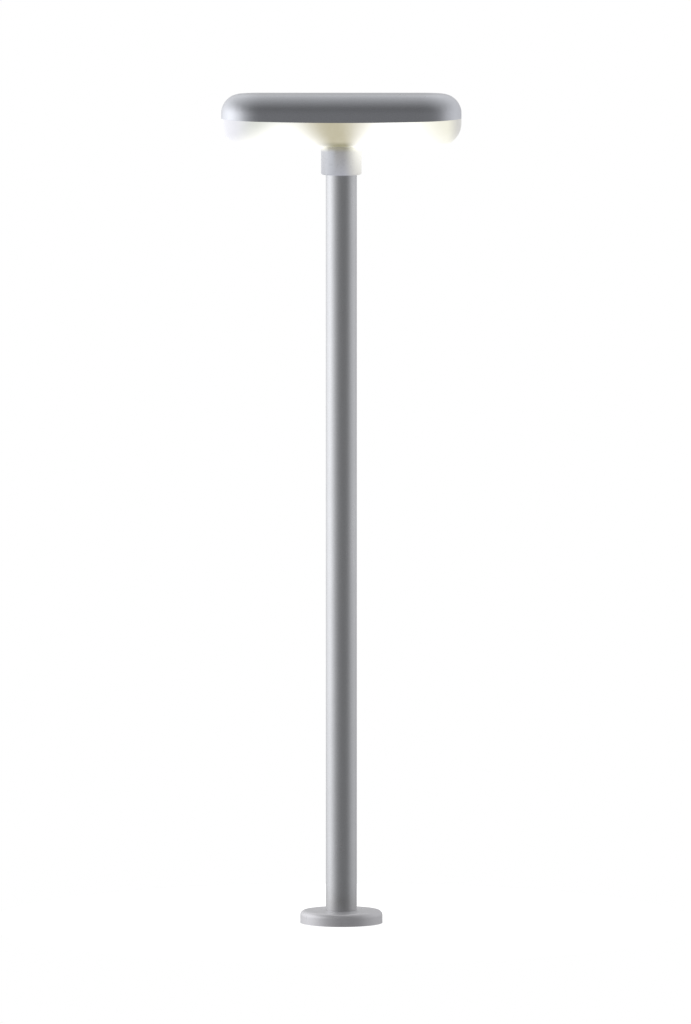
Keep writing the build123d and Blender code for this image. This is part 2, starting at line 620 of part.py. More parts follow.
SURGE_X = (160.0, 225.0)
SURGE_H = 30.0
with BuildPart() as surge_protector:
    block(SURGE_X, (-25, 25), (CHASSIS_TOP, CHASSIS_TOP + SURGE_H))
    fillet(surge_protector.edges().filter_by(Axis.Z), 6)
    fillet(surge_protector.faces().sort_by(Axis.Z)[-1].edges(), 2)
write(surge_protector, "surge_protector")

HEAD_TERMINAL_X = (60.0, 130.0)
HEAD_TERMINAL_H = 26.0
with BuildPart() as head_terminal:
    block(HEAD_TERMINAL_X, (-22, 22), (CHASSIS_TOP, CHASSIS_TOP + HEAD_TERMINAL_H))
    with Locations((sum(HEAD_TERMINAL_X) / 2, 0, CHASSIS_TOP + HEAD_TERMINAL_H)):
        with GridLocations(14, 0, 4, 1):
            Cylinder(TERMINAL_HOLE_R, 2 * TERMINAL_HOLE_DEPTH, mode=Mode.SUBTRACT)
write(head_terminal, "head_terminal")

SOCKET_H = 26.0
SOCKET_Z = SPIGOT_TOP + 2.5
CABLE_FOOT = SOCKET_Z + SOCKET_H
with BuildPart() as head_connector:
    disc(CONNECTOR_R, SOCKET_Z, CABLE_FOOT)
    fillet(head_connector.edges().group_by(Axis.Z)[-1], CONNECTOR_END)
write(head_connector, "head_connector")

BEND = 30.0
CABLE_LEVEL = CHASSIS_TOP + 13
CABLE_POINTS = ((0, 0, CABLE_FOOT), (0, 0, CABLE_LEVEL), (HEAD_TERMINAL_X[0], 0, CABLE_LEVEL))
with BuildPart() as head_cable:
    with BuildLine() as route:
        FilletPolyline(*CABLE_POINTS, radius=BEND)
    with BuildSketch(Plane.XY.offset(CABLE_FOOT)):
        Circle(CABLE_R)
    sweep(path=route.line)
write(head_cable, "head_cable")

# ---- head: cap hinge, chassis side, with its pins ----
LEAF_MID = 15.0
CAP_KNUCKLE_R = 7.0
CAP_PIN_R = 3.0
CAP_PIN_HEAD_R = 5.0
CAP_PIN_HEAD_T = 3.5
CAP_LEAF_T = 3.5
for side, x in (("left", -CAP_HINGE_X), ("right", CAP_HINGE_X)):
    whole = (x - LEAF_HALF, x + LEAF_HALF)
    middle = (x - LEAF_MID, x + LEAF_MID)
    outer_knuckles = ((whole[0], middle[0] - GAP), (middle[1] + GAP, whole[1]))
    with BuildPart() as hinge_leaf:
        block(whole, (TRAY_EDGE_Y, REAR_Y + 3), (CHASSIS_Z, CHASSIS_TOP))
        for span in outer_knuckles:
            block(span, (TRAY_EDGE_Y, CAP_HINGE_Y), (CHASSIS_Z, CHASSIS_TOP))
            rod_x(CAP_KNUCKLE_R, span, CAP_HINGE_Y, CAP_Z)
        rod_x(CAP_PIN_R, whole, CAP_HINGE_Y, CAP_Z, mode=Mode.SUBTRACT)
    write(hinge_leaf, f"cap_hinge_base_{side}")

    with BuildPart() as hinge_pin:
        rod_x(CAP_PIN_R, whole, CAP_HINGE_Y, CAP_Z)
        rod_x(CAP_PIN_HEAD_R, (whole[0] - CAP_PIN_HEAD_T, whole[0]), CAP_HINGE_Y, CAP_Z)
        rod_x(CAP_PIN_HEAD_R, (whole[1], whole[1] + CAP_PIN_HEAD_T), CAP_HINGE_Y, CAP_Z)
    write(hinge_pin, f"cap_hinge_pin_{side}")

    with BuildPart() as cap_leaf:
        block(whole, (REAR_Y, REAR_Y + CAP_LEAF_T), (CAP_Z + 12, CAP_Z + 29))
        fillet(cap_leaf.edges().filter_by(Axis.Y), 5)
        block(middle, (REAR_Y, REAR_Y + CAP_LEAF_T), (CAP_Z + 4, CAP_Z + 16))
        block(middle, (REAR_Y, CAP_HINGE_Y), (CAP_Z + 4, CAP_Z + 9))
        rod_x(CAP_KNUCKLE_R, middle, CAP_HINGE_Y, CAP_Z)
        rod_x(CAP_PIN_R + RUNNING_FIT, whole, CAP_HINGE_Y, CAP_Z, mode=Mode.SUBTRACT)
    write(cap_leaf, f"cap_hinge_leaf_{side}")

# ---- head: ball catch on the chassis and its strike on the cap ----
CATCH_Y = -150.0
CATCH_TOP = CHASSIS_TOP + 22
CATCH_BALL_R = 5.0
CATCH_BALL_SINK = 2.0
with BuildPart() as cap_catch:
    block((-18, 18), (CATCH_Y - 6, CATCH_Y + 6), (CHASSIS_TOP, CATCH_TOP))
    fillet(cap_catch.edges().filter_by(Axis.Y).group_by(Axis.Z)[-1], 3)
    with Locations((0, CATCH_Y, CATCH_TOP - CATCH_BALL_SINK)):
        Sphere(CATCH_BALL_R, arc_size1=0)
write(cap_catch, "cap_catch")

FRONT_IN_Y = -REAR_Y + CAP_WALL
STRIKE_X = (-14.0, 14.0)
STRIKE_T = 2.0
STRIKE_Z = CATCH_TOP + CATCH_BALL_R - CATCH_BALL_SINK + GAP
with BuildPart() as cap_strike:
    block(STRIKE_X, (FRONT_IN_Y, CATCH_Y + 8), (STRIKE_Z, STRIKE_Z + STRIKE_T))
    block(STRIKE_X, (FRONT_IN_Y, FRONT_IN_Y + STRIKE_T), (STRIKE_Z - 12, STRIKE_Z))
    fillet(cap_strike.edges().filter_by(Axis.Z).group_by(Axis.Y)[-1], 5)
write(cap_strike, "cap_strike")

# ---- cap ----
CAP_STOCK = CAP_Z - 5
with BuildPart() as cap_cavity:
    bar_plate(CAP_WALL, CAP_STOCK, TOTAL_HEIGHT - CAP_WALL)
    fillet(cap_cavity.edges().group_by(Axis.Z)[-1], CAP_FILLET - CAP_WALL)

with BuildPart() as cap_shell:
    bar_plate(0, CAP_STOCK, TOTAL_HEIGHT)
    fillet(cap_shell.edges().group_by(Axis.Z)[-1], CAP_FILLET)
    add(cap_cavity.part, mode=Mode.SUBTRACT)
    cut_past_seam(0, CAP_STOCK - 1)
write(cap_shell, "cap_shell")

# ---- wires from the driver down to the two light modules ----
WIRE_R = 2.5
WIRE_BEND = 12.0
WIRE_LEVEL = CHASSIS_TOP + 16
for side, start_x, drop_x in (("left", -WIRE_X, -WIRE_X), ("right", -120.0, WIRE_X)):
    points = [(start_x, DRIVER_HALF_W, WIRE_LEVEL), (start_x, WIRE_Y, WIRE_LEVEL)]
    if drop_x != start_x:
        points.append((drop_x, WIRE_Y, WIRE_LEVEL))
    points.append((drop_x, WIRE_Y, CHASSIS_Z))
    with BuildPart() as led_wire:
        with BuildLine() as route:
            FilletPolyline(*points, radius=WIRE_BEND)
        with BuildSketch(Plane(origin=points[0], z_dir=(0, 1, 0))):
            Circle(WIRE_R)
        sweep(path=route.line)
    write(led_wire, f"led_wire_{side}")
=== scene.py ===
"""Looks of the street lamp post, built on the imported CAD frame."""
import json
import math

import bmesh
import bpy
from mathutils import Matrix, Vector


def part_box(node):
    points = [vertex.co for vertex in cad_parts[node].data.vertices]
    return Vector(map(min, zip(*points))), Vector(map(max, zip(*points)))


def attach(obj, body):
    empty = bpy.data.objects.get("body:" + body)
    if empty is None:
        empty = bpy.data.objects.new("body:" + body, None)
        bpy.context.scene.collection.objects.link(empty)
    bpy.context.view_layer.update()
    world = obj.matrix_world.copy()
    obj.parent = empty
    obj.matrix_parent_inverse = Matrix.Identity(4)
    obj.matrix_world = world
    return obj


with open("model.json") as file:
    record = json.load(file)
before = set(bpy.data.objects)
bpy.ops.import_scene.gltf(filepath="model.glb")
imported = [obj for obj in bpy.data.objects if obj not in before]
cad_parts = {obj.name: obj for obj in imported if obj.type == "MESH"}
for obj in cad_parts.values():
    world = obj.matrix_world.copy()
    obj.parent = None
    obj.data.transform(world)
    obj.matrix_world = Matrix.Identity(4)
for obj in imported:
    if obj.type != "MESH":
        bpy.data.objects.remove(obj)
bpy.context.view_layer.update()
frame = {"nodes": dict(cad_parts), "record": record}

# ---------------------------------------------------------------- camera
CAMERA_REACH = 71.0  # metres in front of the column
CAMERA_HEIGHT = 7.95
FOCAL_LENGTH = 555.6  # millimetres
AIM = Vector((0.0187, 0.0, 1.8617))

lens = bpy.data.cameras.new("camera")
lens.lens = FOCAL_LENGTH
lens.clip_start = 0.5
lens.clip_end = 600.0
camera = bpy.data.objects.new("camera", lens)
bpy.context.scene.collection.objects.link(camera)
camera.location = (AIM.x, -CAMERA_REACH, CAMERA_HEIGHT)
camera.rotation_euler = (AIM - camera.location).to_track_quat("-Z", "Y").to_euler()
bpy.context.scene.camera = camera


# ---------------------------------------------------------------- shader helpers
class Look:
    """A node material under construction, round one Principled shader."""

    def __init__(self, name):
        self.material = bpy.data.materials.new(name)
        self.material.use_nodes = True
        self.tree = self.material.node_tree
        self.shader = self.tree.nodes["Principled BSDF"]
        self.place = self.tree.nodes.new("ShaderNodeTexCoord").outputs["Object"]

    def set(self, **values):
        """Sets the shader's inputs; an underscore stands for a space in an input's name."""
        for socket, value in values.items():
            self.shader.inputs[socket.replace("_", " ")].default_value = value
        return self

    def link(self, output, socket):
        """Feeds an output to one of the shader's inputs."""
        self.tree.links.new(output, self.shader.inputs[socket])

    def scaled(self, scale):
        """Object coordinates stretched by scale along each axis."""
        node = self.tree.nodes.new("ShaderNodeMapping")
        self.tree.links.new(self.place, node.inputs["Vector"])
        node.inputs["Scale"].default_value = scale
        return node.outputs["Vector"]

    def noise(self, scale, detail=3.0, roughness=0.5, vector=None):
        """Soft noise, from 0 to 1 with most of it between 0.3 and 0.7."""
        node = self.tree.nodes.new("ShaderNodeTexNoise")
        self.tree.links.new(vector or self.place, node.inputs["Vector"])
        node.inputs["Scale"].default_value = scale
        node.inputs["Detail"].default_value = detail
        node.inputs["Roughness"].default_value = roughness
        return node.outputs["Fac"]

    def cells(self, scale, output="Color"):
        """Voronoi cells: a colour for each, or the distance from its centre."""
        node = self.tree.nodes.new("ShaderNodeTexVoronoi")
        self.tree.links.new(self.place, node.inputs["Vector"])
        node.inputs["Scale"].default_value = scale
        return node.outputs[output]

    def axis(self, name, source=None):
        """One coordinate of the object's space, or one channel of another output."""
        node = self.tree.nodes.new("ShaderNodeSeparateXYZ")
        self.tree.links.new(source or self.place, node.inputs[0])
        return node.outputs[name]

    def remap(self, value, low, high, to_low=0.0, to_high=1.0, smooth=False):
        """Stretches low..high to to_low..to_high and holds the ends."""
        node = self.tree.nodes.new("ShaderNodeMapRange")
        if smooth:
            node.interpolation_type = "SMOOTHSTEP"
        self.tree.links.new(value, node.inputs["Value"])
        limits = {"From Min": low, "From Max": high, "To Min": to_low, "To Max": to_high}
        for socket, number in limits.items():
            node.inputs[socket].default_value = number
        return node.outputs["Result"]

    def math(self, kind, a, b=0.0):
        """One operation on a and b; each is a number or an output."""
        node = self.tree.nodes.new("ShaderNodeMath")
        node.operation = kind
        for socket, value in zip(node.inputs, (a, b)):
            if isinstance(value, (int, float)):
                socket.default_value = value
            else:
                self.tree.links.new(value, socket)
        return node.outputs[0]

    def mix(self, factor, first, second):
        """A colour between first and second; each is a colour or an output."""
        node = self.tree.nodes.new("ShaderNodeMix")
        node.data_type = "RGBA"
        sockets = [s for s in node.inputs if s.type == "RGBA"]
        for socket, value in zip(sockets, (first, second)):
            if isinstance(value, tuple):
                socket.default_value = (*value[:3], 1.0)
            else:
                self.tree.links.new(value, socket)
        if isinstance(factor, (int, float)):
            node.inputs["Factor"].default_value = factor
        else:
            self.tree.links.new(factor, node.inputs["Factor"])
        return next(s for s in node.outputs if s.type == "RGBA")

    def bump(self, height, strength, distance):
        """Tilts the surface by an output's slope; distance is in metres."""
        node = self.tree.nodes.new("ShaderNodeBump")
        self.tree.links.new(height, node.inputs["Height"])
        node.inputs["Strength"].default_value = strength
        node.inputs["Distance"].default_value = distance
        self.link(node.outputs["Normal"], "Normal")


def tone(colour, factor):
    """A lighter or darker version of a colour."""
    return tuple(min(1.0, c * factor) for c in colour)


# ---------------------------------------------------------------- materials
END_SHEEN_STARTS = 0.34  # where the painted highlight on a long part's ends starts, from the column's axis
END_SHEEN_FULL = 0.46


def metallic_paint(name, colour, roughness, grain, dust_and_shade_height=0.0, metal=0.92, end_sheen=0.0):
    """Powder coat with fine metal flakes, faint clouding and handling marks.

    Splashed dust reaches up to the given height, and painted shade darkens the part's foot.
    The ends of a long part are painted paler by the last argument, a painted highlight where
    its rounded ends face the bright sides.
    """
    look = Look(name).set(Metallic=metal, Coat_Weight=0.10, Coat_Roughness=0.3)
    flakes = look.axis("X", look.cells(420.0))
    speckle = look.noise(170.0, 2.0, 0.6)
    cloud = look.noise(4.0, 4.0, 0.55)
    base = look.mix(look.remap(flakes, 0.1, 0.9), tone(colour, 1 - grain), tone(colour, 1 + grain))
    base = look.mix(look.remap(speckle, 0.35, 0.65, 0.0, 0.4), base, tone(colour, 1 - grain))
    base = look.mix(look.remap(cloud, 0.3, 0.7, 0.0, 0.2), base, tone(colour, 0.88))
    if dust_and_shade_height:
        height = look.remap(look.axis("Z"), dust_and_shade_height, 0.0)
        splash = look.remap(look.noise(38.0, 6.0, 0.7), 0.45, 0.75, 0.0, 0.22)
        base = look.mix(look.math("MULTIPLY", height, splash), base, (0.34, 0.32, 0.29))
        # Painted shade: a darker band at the very foot, where the part meets the base.
        foot_shade_top = 0.55 * dust_and_shade_height
        foot_shade_full = 0.15 * dust_and_shade_height
        foot_shade = look.remap(look.axis("Z"), foot_shade_top, foot_shade_full, 0.0, 0.4, smooth=True)
        base = look.mix(foot_shade, base, (0.40, 0.39, 0.38))
    # Painted highlight: the rounded ends of a long part are painted paler, as if catching the bright
    # sides.
    if end_sheen:
        reach = look.math("ABSOLUTE", look.axis("X"))
        ends = look.remap(reach, END_SHEEN_STARTS, END_SHEEN_FULL, smooth=True)
        base = look.mix(ends, base, tone(colour, 1 + end_sheen))
    look.link(base, "Base Color")
    streak = look.noise(1.0, 4.0, 0.6, look.scaled((60.0, 60.0, 2.0)))
    wear = look.math("ADD", look.math("MULTIPLY", streak, 0.5), look.math("MULTIPLY", cloud, 0.5))
    look.link(look.remap(wear, 0.3, 0.7, roughness - 0.04, roughness + 0.05), "Roughness")
    orange_peel = look.math("ADD", look.noise(260.0, 2.0, 0.5), look.math("MULTIPLY", flakes, 0.3))
    look.bump(orange_peel, 0.07, 0.0005)
    return look.material


def galvanised(name):
    """Hot-dip zinc with a spangle of crystals and white bloom."""
    look = Look(name).set(Metallic=0.85)
    spangle = look.axis("X", look.cells(95.0))
    base = look.mix(spangle, (0.42, 0.44, 0.46), (0.66, 0.68, 0.70))
    bloom = look.remap(look.noise(14.0, 5.0, 0.6), 0.45, 0.75, 0.0, 0.5)
    base = look.mix(bloom, base, (0.55, 0.54, 0.5))
    look.link(base, "Base Color")
    look.link(look.remap(spangle, 0.0, 1.0, 0.38, 0.6), "Roughness")
    look.bump(look.noise(120.0, 3.0, 0.6), 0.2, 0.0005)
    return look.material


def brushed_steel(name):
    """Stainless steel with fine lines from brushing along X."""
    look = Look(name).set(Metallic=1.0)
    lines = look.noise(1.0, 3.0, 0.7, look.scaled((25.0, 1500.0, 1500.0)))
    base = look.mix(look.remap(lines, 0.3, 0.7), (0.52, 0.52, 0.51), (0.72, 0.72, 0.70))
    look.link(base, "Base Color")
    look.link(look.remap(lines, 0.3, 0.7, 0.24, 0.42), "Roughness")
    look.bump(lines, 0.15, 0.0002)
    return look.material


def cast_aluminium(name):
    """Cast metal with small pits and a clouded tone."""
    look = Look(name).set(Metallic=0.9)
    pits = look.noise(320.0, 4.0, 0.7)
    cloud = look.noise(9.0, 4.0, 0.6)
    base = look.mix(look.remap(cloud, 0.3, 0.7), (0.60, 0.61, 0.62), (0.78, 0.79, 0.80))
    base = look.mix(look.remap(pits, 0.55, 0.7, 0.0, 0.4), base, (0.45, 0.45, 0.45))
    look.link(base, "Base Color")
    look.link(look.remap(pits, 0.3, 0.7, 0.42, 0.6), "Roughness")
    look.bump(pits, 0.25, 0.0006)
    return look.material


def moulded(name, colour, roughness=0.5, specular=0.5):
    """Moulded plastic or rubber with spark-eroded texture and faint dust."""
    look = Look(name).set(Specular_IOR_Level=specular)
    grain = look.noise(900.0, 2.0, 0.6)
    cloud = look.noise(12.0, 4.0, 0.6)
    base = look.mix(look.remap(cloud, 0.35, 0.7), tone(colour, 0.9), tone(colour, 1.08))
    base = look.mix(look.remap(grain, 0.5, 0.7, 0.0, 0.2), base, tone(colour, 1.35))
    look.link(base, "Base Color")
    look.link(look.remap(grain, 0.3, 0.7, roughness - 0.08, roughness + 0.08), "Roughness")
    look.bump(grain, 0.2, 0.0003)
    return look.material


def brass(name):
    """Brass with brown tarnish in patches."""
    look = Look(name).set(Metallic=1.0)
    tarnish = look.noise(60.0, 5.0, 0.65)
    base = look.mix(look.remap(tarnish, 0.35, 0.7), (0.80, 0.62, 0.30), (0.52, 0.38, 0.18))
    look.link(base, "Base Color")
    look.link(look.remap(tarnish, 0.3, 0.7, 0.25, 0.5), "Roughness")
    look.bump(look.noise(700.0), 0.1, 0.0002)
    return look.material


def solder_mask(name):
    """White lacquer of a circuit board, raised over rounded copper areas."""
    look = Look(name).set(Coat_Weight=0.3, Coat_Roughness=0.2)
    tracks = look.cells(70.0, "Distance")
    base = look.mix(look.remap(tracks, 0.2, 0.25), (0.88, 0.89, 0.86), (0.93, 0.93, 0.91))
    look.link(base, "Base Color")
    look.link(look.remap(look.noise(200.0), 0.3, 0.7, 0.3, 0.42), "Roughness")
    look.bump(look.remap(tracks, 0.2, 0.25), 0.3, 0.0001)
    return look.material


def clear_lens(name):
    """Clear plastic with a faint haze."""
    look = Look(name).set(Transmission_Weight=1.0, IOR=1.49)
    haze = look.noise(90.0, 3.0, 0.6)
    base = look.mix(look.remap(haze, 0.3, 0.7), (0.95, 0.97, 0.98), (0.99, 0.99, 0.99))
    look.link(base, "Base Color")
    look.link(look.remap(haze, 0.3, 0.7, 0.02, 0.08), "Roughness")
    look.bump(look.noise(500.0), 0.05, 0.0001)
    return look.material


BOWL_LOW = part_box("diffuser")[0].z
BOWL_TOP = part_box("head_chassis")[1].z  # the tray's rim, about 5 mm above the middle of the seam
HEAD_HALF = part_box("diffuser")[1].x

# The two cones of light in x. Each row is a cone's left edge, its right edge and how soft the left
# and the right edge are; each pair is the value at the seam and the value underneath.
CONES = (
    ((-0.286, -0.480), (-0.207, -0.072), (0.130, 0.120), (0.155, 0.047)),
    ((0.105, 0.047), (0.358, 0.455), (0.135, 0.030), (0.150, 0.130)),
)


def between(look, value, low, high, soft_low, soft_high):
    """1 where value lies from low to high, fading to 0 outside; all five are outputs."""
    past_low = look.math("DIVIDE", look.math("SUBTRACT", value, low), soft_low)
    past_high = look.math("DIVIDE", look.math("SUBTRACT", value, high), soft_high)
    rise = look.remap(past_low, -1.0, 1.0, smooth=True)
    fall = look.remap(past_high, 1.0, -1.0, smooth=True)
    return look.math("MULTIPLY", rise, fall)


def opal_diffuser(name):
    """Lit opal plastic: a white cone below each light module, cream or lavender elsewhere.

    The dim cream round the middle is painted shade over the collar; the lavender left end and the
    cream right end are painted side light, with a painted dark rim at the right tip.
    """
    look = Look(name).set(Coat_Weight=0.2, Coat_Roughness=0.3, Specular_IOR_Level=0.35)
    across = look.axis("X")
    depth = look.remap(look.axis("Z"), BOWL_TOP, BOWL_LOW)  # 0 beside the seam, 1 underneath
    left, right = [
        between(look, across, *[look.remap(depth, 0.0, 1.0, top, foot) for top, foot in edges])
        for edges in CONES
    ]
    cones = look.math("MAXIMUM", left, right)
    # Painted shade: the middle of the bowl, round the column's top, is dimmed, darkest just above
    # the collar.
    over_collar_shade = look.remap(depth, 0.74, 0.93, smooth=True)
    neck_shade = look.mix(over_collar_shade, (0.375, 0.342, 0.230), (0.175, 0.158, 0.072))
    # Painted side light at the ends: lavender at the left end, cream at the right, and a painted
    # dark rim at the right tip.
    side = look.remap(across, -HEAD_HALF, HEAD_HALF)  # 0 at the left end, 1 at the right end
    left_tip = look.remap(side, 0.04, 0.16, smooth=True)
    end_side_light = look.mix(left_tip, (0.56, 0.56, 0.62), (0.50, 0.515, 0.475))
    end_side_light = look.mix(look.remap(side, 0.3, 0.7), end_side_light, (0.66, 0.645, 0.545))
    right_tip_shade = look.remap(side, 0.935, 0.995, smooth=True)
    end_side_light = look.mix(right_tip_shade, end_side_light, (0.38, 0.375, 0.365))
    ends = look.remap(look.math("ABSOLUTE", across), 0.10, 0.30, smooth=True)
    glow = look.mix(ends, neck_shade, end_side_light)
    edge = look.remap(depth, 0.80, 1.0, 0.0, 0.35, smooth=True)
    glow = look.mix(look.math("MULTIPLY", edge, ends), glow, (1.0, 0.98, 0.80))
    mottle = look.remap(look.noise(30.0, 3.0, 0.6), 0.3, 0.7, 0.0, 0.04)
    glow = look.mix(mottle, glow, (1.0, 1.0, 0.95))
    look.link(look.mix(cones, glow, (1.0, 0.995, 0.965)), "Emission Color")
    look.set(Emission_Strength=1.15)
    fog = look.noise(18.0, 4.0, 0.6)
    base = look.mix(look.remap(fog, 0.3, 0.7), (0.30, 0.30, 0.27), (0.34, 0.34, 0.31))
    look.link(base, "Base Color")
    look.link(look.remap(fog, 0.3, 0.7, 0.28, 0.38), "Roughness")
    look.bump(look.noise(140.0, 2.0), 0.05, 0.0004)
    return look.material


COLLAR_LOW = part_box("collar_sleeve")[0].z
COLLAR_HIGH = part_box("collar_sleeve")[1].z
COLLAR_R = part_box("collar_sleeve")[1].x


def opal_collar(name):
    """Opal tube that pipes light down from the bowl, with painted side light and painted shade.

    A lavender band on the left and a bright cream band on the right are painted side light; the
    middle, the left edge and the top under the bowl are painted shade, with light leaking at the
    top corners.
    """
    look = Look(name).set(Coat_Weight=0.35, Coat_Roughness=0.22, Specular_IOR_Level=0.5)
    height = look.remap(look.axis("Z"), COLLAR_LOW, COLLAR_HIGH)
    across = look.remap(look.axis("X"), -COLLAR_R, COLLAR_R)  # 0 at the left, 1 at the right
    # Painted side light and shade: a lavender band on the left, a bright cream band on the right,
    # painted shade in the middle and along the left edge.
    left = look.remap(across, 0.40, 0.24, smooth=True)
    right = look.remap(across, 0.52, 0.94, smooth=True)
    middle_shade = look.mix(height, (0.275, 0.285, 0.325), (0.170, 0.165, 0.155))
    glow = look.mix(left, middle_shade, (0.285, 0.300, 0.340))
    glow = look.mix(look.remap(across, 0.14, 0.03), glow, (0.16, 0.17, 0.20))
    glow = look.mix(right, glow, look.mix(height, (0.50, 0.49, 0.45), (0.78, 0.77, 0.69)))
    # Painted shadow of the bowl across the top of the tube, with light leaking at its two corners.
    top = look.remap(height, 0.80, 0.98, smooth=True)
    left_leak = look.remap(across, 0.20, 0.06, 0.0, 0.72)
    right_leak = look.remap(across, 0.58, 0.90, smooth=True)
    leak = look.math("MAXIMUM", left_leak, right_leak)
    glow = look.mix(top, glow, look.mix(leak, (0.20, 0.185, 0.115), (0.95, 0.94, 0.78)))
    look.link(glow, "Emission Color")
    look.set(Emission_Strength=0.95)
    fog = look.noise(40.0, 4.0, 0.6)
    base = look.mix(look.remap(fog, 0.3, 0.7), (0.42, 0.42, 0.43), (0.47, 0.47, 0.48))
    look.link(base, "Base Color")
    look.link(look.remap(fog, 0.3, 0.7, 0.24, 0.34), "Roughness")
    look.bump(look.noise(200.0, 2.0), 0.05, 0.0003)
    return look.material


def silicone(name):
    """White silicone with a little dust."""
    look = Look(name)
    look.set(Subsurface_Weight=0.15, Subsurface_Scale=0.002, Specular_IOR_Level=0.4)
    dust = look.noise(80.0, 4.0, 0.6)
    base = look.mix(look.remap(dust, 0.4, 0.7), (0.74, 0.74, 0.80), (0.62, 0.62, 0.66))
    look.link(base, "Base Color")
    look.link(look.remap(dust, 0.3, 0.7, 0.4, 0.55), "Roughness")
    look.bump(look.noise(400.0, 2.0), 0.1, 0.0002)
    return look.material


COLUMN_GREY = (0.69, 0.70, 0.72)
CAP_GREY = (0.60, 0.615, 0.655)
BASE_GREY = (0.86, 0.855, 0.885)
PAINT_ROUGHNESS = 0.30

LOOKS = {
    "column_paint": metallic_paint("column_paint", COLUMN_GREY, PAINT_ROUGHNESS, 0.06, 0.35),
    "door_paint": metallic_paint("door_paint", COLUMN_GREY, PAINT_ROUGHNESS, 0.06),
    "cap_aluminium": metallic_paint("cap_aluminium", CAP_GREY, PAINT_ROUGHNESS, 0.06, end_sheen=0.24),
    "base_paint": metallic_paint("base_paint", BASE_GREY, PAINT_ROUGHNESS, 0.05, metal=0.45),
    "galvanised_steel": galvanised("galvanised_steel"),
    "stainless_steel": brushed_steel("stainless_steel"),
    "black_rubber": moulded("black_rubber", (0.035, 0.035, 0.037), 0.7, 0.3),
    "white_silicone": silicone("white_silicone"),
    "grey_plastic": moulded("grey_plastic", (0.36, 0.37, 0.39), 0.5),
    "pale_plastic": moulded("pale_plastic", (0.72, 0.71, 0.65), 0.45),
    "black_plastic": moulded("black_plastic", (0.04, 0.04, 0.043), 0.45),
    "brass": brass("brass"),
    "cable_black": moulded("cable_black", (0.04, 0.04, 0.04), 0.55, 0.4),
    "chassis_aluminium": cast_aluminium("chassis_aluminium"),
    "opal_diffuser": opal_diffuser("opal_diffuser"),
    "opal_collar": opal_collar("opal_collar"),
    "led_board": solder_mask("led_board"),
    "clear_optic": clear_lens("clear_optic"),
}

for entry in frame["record"]["subparts"]:
    node = frame["nodes"][entry["node"]]
    node.data.materials.clear()
    node.data.materials.append(LOOKS[entry["material_slot"]])


# ---------------------------------------------------------------- mesh helpers
def show(mesh, name, material, smooth=False):
    """Puts a mesh in the scene as an object with one material."""
    mesh.materials.append(material)
    if smooth:
        mesh.polygons.foreach_set("use_smooth", [True] * len(mesh.polygons))
    thing = bpy.data.objects.new(name, mesh)
    bpy.context.scene.collection.objects.link(thing)
    return thing


def add(shape, name, body, slot_name):
    """Turns a bmesh into a piece that rides on a body with a slot's finish."""
    bmesh.ops.recalc_face_normals(shape, faces=shape.faces)
    mesh = bpy.data.meshes.new(name)
    shape.to_mesh(mesh)
    shape.free()
    piece = show(mesh, name, LOOKS[slot_name])
    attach(piece, body)
    return piece


AROUND = 24  # a multiple of 6, so that hexagons have true corners


def turn(shape, centre, facing, rings):
    """Adds a closed lathe shape; each ring is (radius, height, whether it is a hexagon)."""
    tilt = facing.to_track_quat("Z", "Y").to_matrix()
    loops = []
    for radius, height, hexagonal in rings:
        loop = []
        for step in range(AROUND):
            angle = math.tau * step / AROUND
            reach = radius
            if hexagonal:
                reach /= math.cos((angle + math.pi / 6) % (math.pi / 3) - math.pi / 6)
            spot = Vector((reach * math.cos(angle), reach * math.sin(angle), height))
            loop.append(shape.verts.new(centre + tilt @ spot))
        loops.append(loop)
    for lower, upper in zip(loops, loops[1:]):
        for step in range(AROUND):
            after = (step + 1) % AROUND
            shape.faces.new((lower[step], lower[after], upper[after], upper[step]))
    shape.faces.new(reversed(loops[0]))
    shape.faces.new(loops[-1])


def socket_screw(shape, centre, facing, radius):
    """A cylinder-head screw with a broken edge and a hexagon socket."""
    tall = 1.1 * radius
    turn(shape, centre, facing, (
        (radius, 0.0, False),
        (radius, 0.85 * tall, False),
        (0.88 * radius, tall, False),
        (0.62 * radius, tall, False),
        (0.50 * radius, 0.95 * tall, True),
        (0.50 * radius, 0.40 * tall, True),
    ))


def pan_screw(shape, centre, facing, radius):
    """A low domed screw head with a hexagon recess."""
    turn(shape, centre, facing, (
        (radius, 0.0, False),
        (radius, 0.12 * radius, False),
        (0.90 * radius, 0.34 * radius, False),
        (0.62 * radius, 0.50 * radius, False),
        (0.42 * radius, 0.54 * radius, False),
        (0.36 * radius, 0.50 * radius, True),
        (0.36 * radius, 0.22 * radius, True),
    ))


def rivet(shape, centre, facing, radius):
    """A domed rivet head."""
    turn(shape, centre, facing, (
        (radius, 0.0, False),
        (0.97 * radius, 0.16 * radius, False),
        (0.80 * radius, 0.36 * radius, False),
        (0.50 * radius, 0.50 * radius, False),
        (0.15 * radius, 0.54 * radius, False),
    ))


def heads(name, body, slot_name, kind, radius, facing, spots):
    """A group of equal fastener heads as one piece."""
    shape = bmesh.new()
    for spot in spots:
        kind(shape, Vector(spot), Vector(facing), radius)
    return add(shape, name, body, slot_name)


def bar(shape, low, high, draft=0.0):
    """Adds a bar between two corners; draft narrows its lower side across its length."""
    corners = []
    for z, narrow in ((high.z, 0.0), (low.z, draft)):
        slim_x = narrow if high.x - low.x < high.y - low.y else 0.0
        slim_y = narrow - slim_x
        for x, y in ((low.x + slim_x, low.y + slim_y), (high.x - slim_x, low.y + slim_y),
                     (high.x - slim_x, high.y - slim_y), (low.x + slim_x, high.y - slim_y)):
            corners.append(shape.verts.new((x, y, z)))
    for face in ((0, 1, 2, 3), (7, 6, 5, 4), (0, 4, 5, 1), (1, 5, 6, 2), (2, 6, 7, 3), (3, 7, 4, 0)):
        shape.faces.new([corners[i] for i in face])


